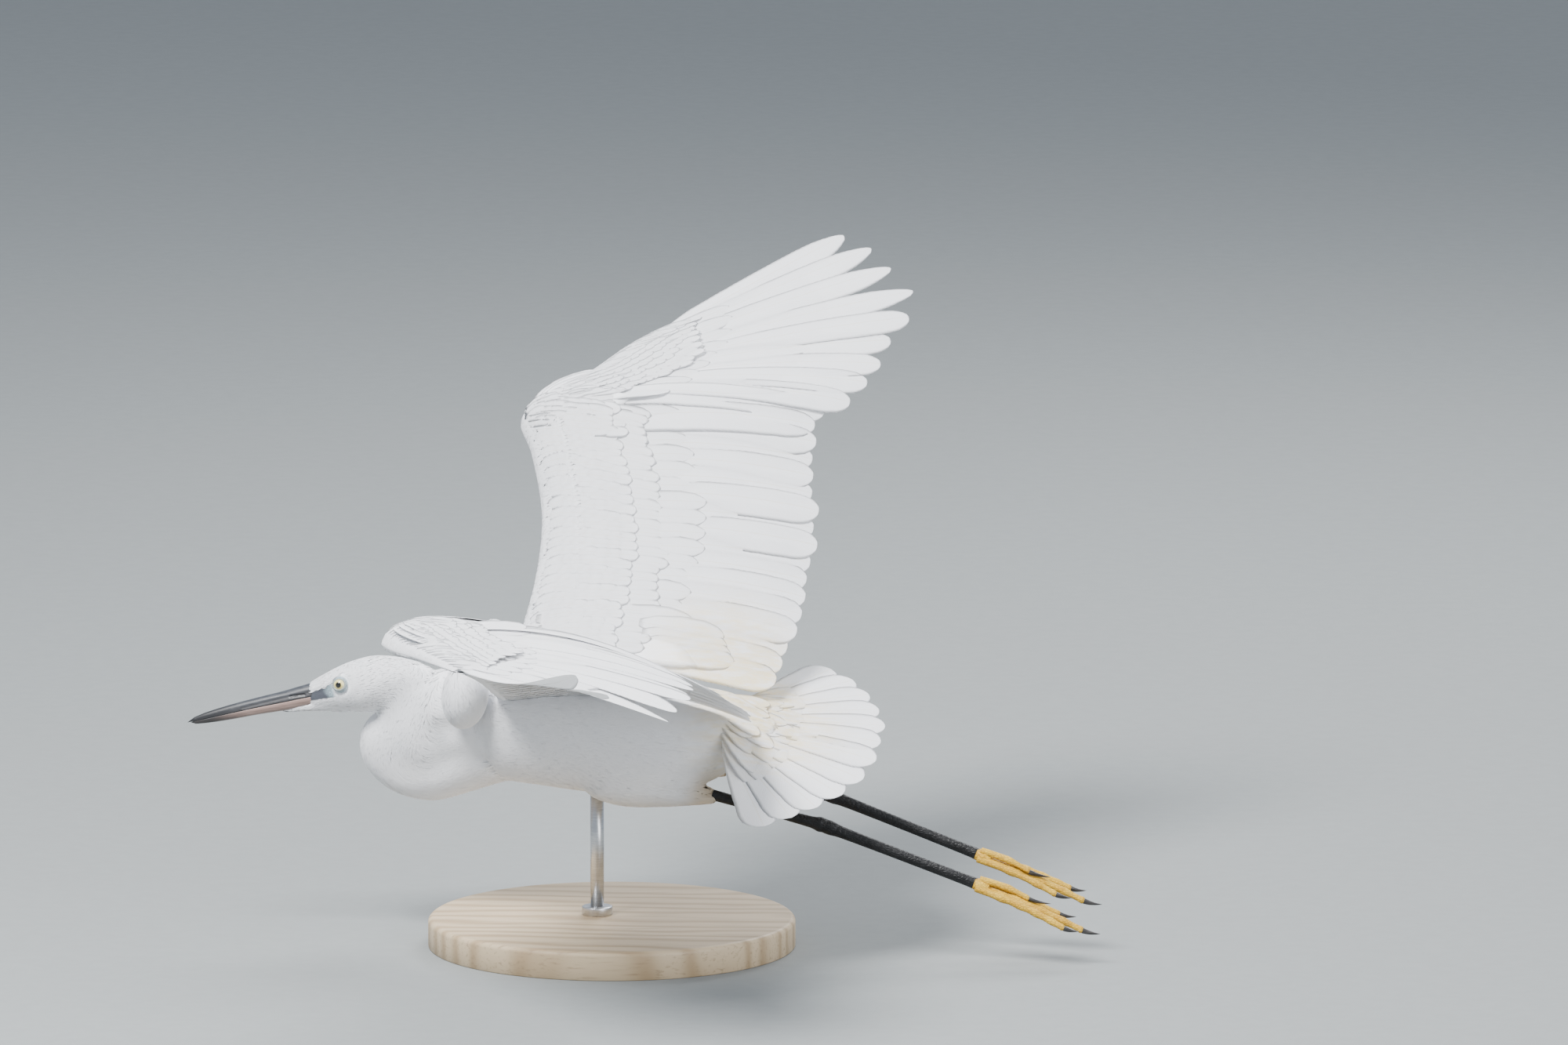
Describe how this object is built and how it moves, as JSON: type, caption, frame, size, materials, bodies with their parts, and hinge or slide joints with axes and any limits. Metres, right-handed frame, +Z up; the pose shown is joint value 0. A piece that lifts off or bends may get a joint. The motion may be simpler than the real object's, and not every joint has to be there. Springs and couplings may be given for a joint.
{
  "type": "little egret display model",
  "caption": "Life-size little egret in gliding flight, wings raised, neck folded and legs trailing, held on a round wooden base by one short steel rod.",
  "frame": {"origin": "centre of the stand base's underside", "axes": "+Z up, the bird's bill points to -X and a little towards +Y, its banked left wing reaches towards -Y"},
  "size_m": [0.5377, 0.6645, 0.3803],
  "materials": {
    "body_feathers": "soft white feathers, matt",
    "flight_feathers": "white vanes with a faint sheen",
    "bill_slate": "dark slate horn, half gloss",
    "bill_horn": "dusky pinkish horn with a dark tip",
    "eye": "pale yellow iris, black pupil, wet gloss",
    "leg_black": "black scaled skin",
    "toe_yellow": "yellow scaled skin",
    "claw_black": "dark horn",
    "ash_wood": "pale ash, satin",
    "steel": "brushed"
  },
  "bodies": {
    "root": {"head": "body_feathers", "eye_left": "eye", "eye_right": "eye", "bill_upper": "bill_slate", "bill_lower": "bill_horn", "neck_upper": "body_feathers", "neck_middle": "body_feathers", "neck_lower": "body_feathers", "torso": "body_feathers", "tail": "flight_feathers", "wing_left_arm": "flight_feathers", "wing_left_hand": "flight_feathers", "wing_right_arm": "flight_feathers", "wing_right_hand": "flight_feathers", "thigh_left": "body_feathers", "tibia_left": "leg_black", "tarsus_left": "leg_black", "foot_left": "toe_yellow", "claw_left_inner": "claw_black", "claw_left_middle": "claw_black", "claw_left_outer": "claw_black", "claw_left_hind": "claw_black", "thigh_right": "body_feathers", "tibia_right": "leg_black", "tarsus_right": "leg_black", "foot_right": "toe_yellow", "claw_right_inner": "claw_black", "claw_right_middle": "claw_black", "claw_right_outer": "claw_black", "claw_right_hind": "claw_black", "stand_base": "ash_wood", "stand_rod": "steel"}
  },
  "joints": []
}
